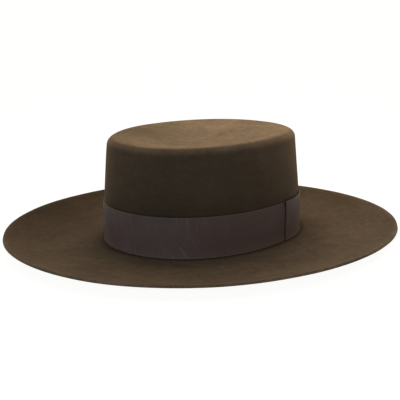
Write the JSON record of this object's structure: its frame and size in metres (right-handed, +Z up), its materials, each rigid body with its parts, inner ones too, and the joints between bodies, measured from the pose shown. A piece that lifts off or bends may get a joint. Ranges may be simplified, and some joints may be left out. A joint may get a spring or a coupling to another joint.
{
  "type": "flat-crowned felt hat",
  "caption": "Flat-topped felt hat with a wide, gently dished brim and a ribbon wound round the crown, its end lapped at the side.",
  "frame": {"origin": "middle of the flat ring under the brim, on the plane that the hat rests on", "axes": "+Z up through the crown, -Y to the front that the wearer looks along, +X to the wearer's left"},
  "size_m": [0.36, 0.3902, 0.101],
  "materials": {
    "felt": "matt brown wool felt with a short soft nap",
    "grosgrain": "dark brown ribbed ribbon with a low silky sheen"
  },
  "bodies": {
    "root": {"felt_body": "felt", "hat_band": "grosgrain"}
  },
  "joints": []
}
